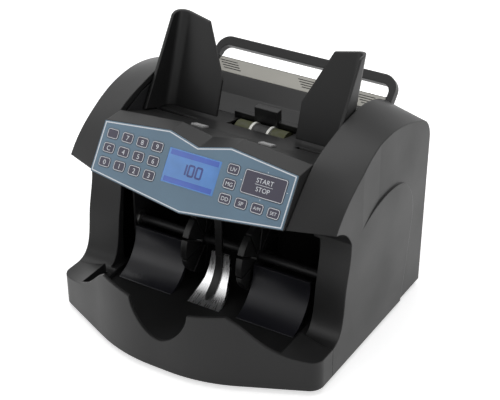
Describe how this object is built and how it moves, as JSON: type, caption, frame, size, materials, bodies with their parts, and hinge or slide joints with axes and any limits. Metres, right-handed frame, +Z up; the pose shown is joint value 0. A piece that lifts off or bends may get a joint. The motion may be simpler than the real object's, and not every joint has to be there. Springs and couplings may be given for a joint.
{
  "type": "banknote counting machine",
  "caption": "Desktop banknote counter with a sloping rear hopper, two sliding note guides, a tilted key and display panel, a front stacker pocket and a folding rear handle.",
  "frame": {"origin": "on the floor under the middle of the machine", "axes": "+X to the right of a user who faces the machine, +Y to the rear, +Z up"},
  "size_m": [0.27, 0.2642, 0.2516],
  "materials": {
    "black_plastic": "fine moulded texture",
    "black_steel": "satin black paint",
    "steel": "turned",
    "bright_metal": "bright polished",
    "rubber": "matt",
    "olive_rubber": "matt",
    "white_plastic": "smooth",
    "grey_plastic": "smooth",
    "silver_trim": "satin",
    "panel_print": "satin printed film",
    "key_plastic": "satin",
    "screen": "glossy",
    "circuit_board": "solder mask",
    "painted_case": "satin"
  },
  "bodies": {
    "machine": {"base_tray": "black_plastic", "bay_back_wall": "black_plastic", "bottom_plate": "black_steel", "bracket_strap": "black_plastic", "centre_bracket": "bright_metal", "circuit_boards": "circuit_board", "drive_belts": "rubber", "feed_gate": "black_plastic", "frame_plates": "black_steel", "guide_rail": "black_steel", "hopper_back_plate": "black_plastic", "hopper_deck": "black_plastic", "hopper_sensors": "grey_plastic", "key_membrane": "grey_plastic", "lcd_module": "grey_plastic", "lcd_window": "screen", "left_side_cover": "black_plastic", "main_motor": "painted_case", "panel_housing": "black_plastic", "panel_overlay": "panel_print", "power_entry": "black_plastic", "power_supply": "painted_case", "rear_cover": "black_plastic", "rear_screws": "steel", "rear_top_strip": "silver_trim", "right_side_cover": "black_plastic", "rubber_feet": "rubber", "shaft_bearings": "steel", "stacker_plates": "black_plastic"},
    "left_guide": {"left_note_guide": "black_plastic"},
    "right_guide": {"right_note_guide": "black_plastic"},
    "handle": {"carry_handle": "black_plastic"},
    "rocker": {"switch_rocker": "black_plastic"},
    "feed": {"feed_shaft": "steel", "feed_tyre": "rubber", "feed_discs": "white_plastic", "pickup_rollers": "olive_rubber"},
    "transport": {"transport_shaft": "black_steel", "transport_tyres": "rubber"},
    "stacker": {"stacker_shaft": "black_steel", "stacker_wheels": "black_plastic"},
    "function_key_1_body": {"function_key_1": "key_plastic"},
    "function_key_2_body": {"function_key_2": "key_plastic"},
    "function_key_3_body": {"function_key_3": "key_plastic"},
    "function_key_4_body": {"function_key_4": "key_plastic"},
    "function_key_5_body": {"function_key_5": "key_plastic"},
    "function_key_6_body": {"function_key_6": "key_plastic"},
    "number_key_11_body": {"number_key_11": "key_plastic"},
    "number_key_12_body": {"number_key_12": "key_plastic"},
    "number_key_13_body": {"number_key_13": "key_plastic"},
    "number_key_14_body": {"number_key_14": "key_plastic"},
    "number_key_21_body": {"number_key_21": "key_plastic"},
    "number_key_22_body": {"number_key_22": "key_plastic"},
    "number_key_23_body": {"number_key_23": "key_plastic"},
    "number_key_24_body": {"number_key_24": "key_plastic"},
    "number_key_31_body": {"number_key_31": "key_plastic"},
    "number_key_32_body": {"number_key_32": "key_plastic"},
    "number_key_33_body": {"number_key_33": "key_plastic"},
    "number_key_34_body": {"number_key_34": "key_plastic"},
    "start_stop_key_body": {"start_stop_key": "key_plastic"}
  },
  "joints": [
    {"name": "left_guide_slide", "type": "slide", "parent": "machine", "child": "left_guide", "axis": [1, 0, 0], "range_m": [0, 0.035]},
    {"name": "right_guide_slide", "type": "slide", "parent": "machine", "child": "right_guide", "axis": [-1, 0, 0], "range_m": [0, 0.035]},
    {"name": "handle_hinge", "type": "hinge", "parent": "machine", "child": "handle", "pos_m": [0, 0.098, 0.165], "axis": [1, 0, 0], "range_deg": [-45, 0]},
    {"name": "rocker_hinge", "type": "hinge", "parent": "machine", "child": "rocker", "pos_m": [-0.02, 0.1063, 0.048], "axis": [1, 0, 0], "range_deg": [-8, 8]},
    {"name": "stacker_spin", "type": "hinge", "parent": "machine", "child": "stacker", "pos_m": [0, -0.014, 0.066], "axis": [1, 0, 0], "continuous": true},
    {"name": "transport_spin", "type": "hinge", "parent": "machine", "child": "transport", "pos_m": [0, 0.016, 0.116], "axis": [1, 0, 0], "continuous": true},
    {"name": "feed_spin", "type": "hinge", "parent": "machine", "child": "feed", "pos_m": [0, 0.044, 0.15], "axis": [1, 0, 0], "continuous": true},
    {"name": "function_key_1_press", "type": "slide", "parent": "machine", "child": "function_key_1_body", "axis": [0, 0.8181, -0.575], "range_m": [0, 0.0004], "stiffness_N_per_m": 300},
    {"name": "function_key_2_press", "type": "slide", "parent": "machine", "child": "function_key_2_body", "axis": [0, 0.8181, -0.575], "range_m": [0, 0.0004], "stiffness_N_per_m": 300},
    {"name": "function_key_3_press", "type": "slide", "parent": "machine", "child": "function_key_3_body", "axis": [0, 0.8181, -0.575], "range_m": [0, 0.0004], "stiffness_N_per_m": 300},
    {"name": "function_key_4_press", "type": "slide", "parent": "machine", "child": "function_key_4_body", "axis": [0, 0.8181, -0.575], "range_m": [0, 0.0004], "stiffness_N_per_m": 300},
    {"name": "function_key_5_press", "type": "slide", "parent": "machine", "child": "function_key_5_body", "axis": [0, 0.8181, -0.575], "range_m": [0, 0.0004], "stiffness_N_per_m": 300},
    {"name": "function_key_6_press", "type": "slide", "parent": "machine", "child": "function_key_6_body", "axis": [0, 0.8181, -0.575], "range_m": [0, 0.0004], "stiffness_N_per_m": 300},
    {"name": "number_key_11_press", "type": "slide", "parent": "machine", "child": "number_key_11_body", "axis": [0, 0.8181, -0.575], "range_m": [0, 0.0004], "stiffness_N_per_m": 300},
    {"name": "number_key_12_press", "type": "slide", "parent": "machine", "child": "number_key_12_body", "axis": [0, 0.8181, -0.575], "range_m": [0, 0.0004], "stiffness_N_per_m": 300},
    {"name": "number_key_13_press", "type": "slide", "parent": "machine", "child": "number_key_13_body", "axis": [0, 0.8181, -0.575], "range_m": [0, 0.0004], "stiffness_N_per_m": 300},
    {"name": "number_key_14_press", "type": "slide", "parent": "machine", "child": "number_key_14_body", "axis": [0, 0.8181, -0.575], "range_m": [0, 0.0004], "stiffness_N_per_m": 300},
    {"name": "number_key_21_press", "type": "slide", "parent": "machine", "child": "number_key_21_body", "axis": [0, 0.8181, -0.575], "range_m": [0, 0.0004], "stiffness_N_per_m": 300},
    {"name": "number_key_22_press", "type": "slide", "parent": "machine", "child": "number_key_22_body", "axis": [0, 0.8181, -0.575], "range_m": [0, 0.0004], "stiffness_N_per_m": 300},
    {"name": "number_key_23_press", "type": "slide", "parent": "machine", "child": "number_key_23_body", "axis": [0, 0.8181, -0.575], "range_m": [0, 0.0004], "stiffness_N_per_m": 300},
    {"name": "number_key_24_press", "type": "slide", "parent": "machine", "child": "number_key_24_body", "axis": [0, 0.8181, -0.575], "range_m": [0, 0.0004], "stiffness_N_per_m": 300},
    {"name": "number_key_31_press", "type": "slide", "parent": "machine", "child": "number_key_31_body", "axis": [0, 0.8181, -0.575], "range_m": [0, 0.0004], "stiffness_N_per_m": 300},
    {"name": "number_key_32_press", "type": "slide", "parent": "machine", "child": "number_key_32_body", "axis": [0, 0.8181, -0.575], "range_m": [0, 0.0004], "stiffness_N_per_m": 300},
    {"name": "number_key_33_press", "type": "slide", "parent": "machine", "child": "number_key_33_body", "axis": [0, 0.8181, -0.575], "range_m": [0, 0.0004], "stiffness_N_per_m": 300},
    {"name": "number_key_34_press", "type": "slide", "parent": "machine", "child": "number_key_34_body", "axis": [0, 0.8181, -0.575], "range_m": [0, 0.0004], "stiffness_N_per_m": 300},
    {"name": "start_stop_key_press", "type": "slide", "parent": "machine", "child": "start_stop_key_body", "axis": [0, 0.8181, -0.575], "range_m": [0, 0.0004], "stiffness_N_per_m": 300}
  ],
  "couplings": [
    {"joint": "transport_spin", "follows": "stacker_spin", "ratio": 1},
    {"joint": "feed_spin", "follows": "stacker_spin", "ratio": 1}
  ]
}
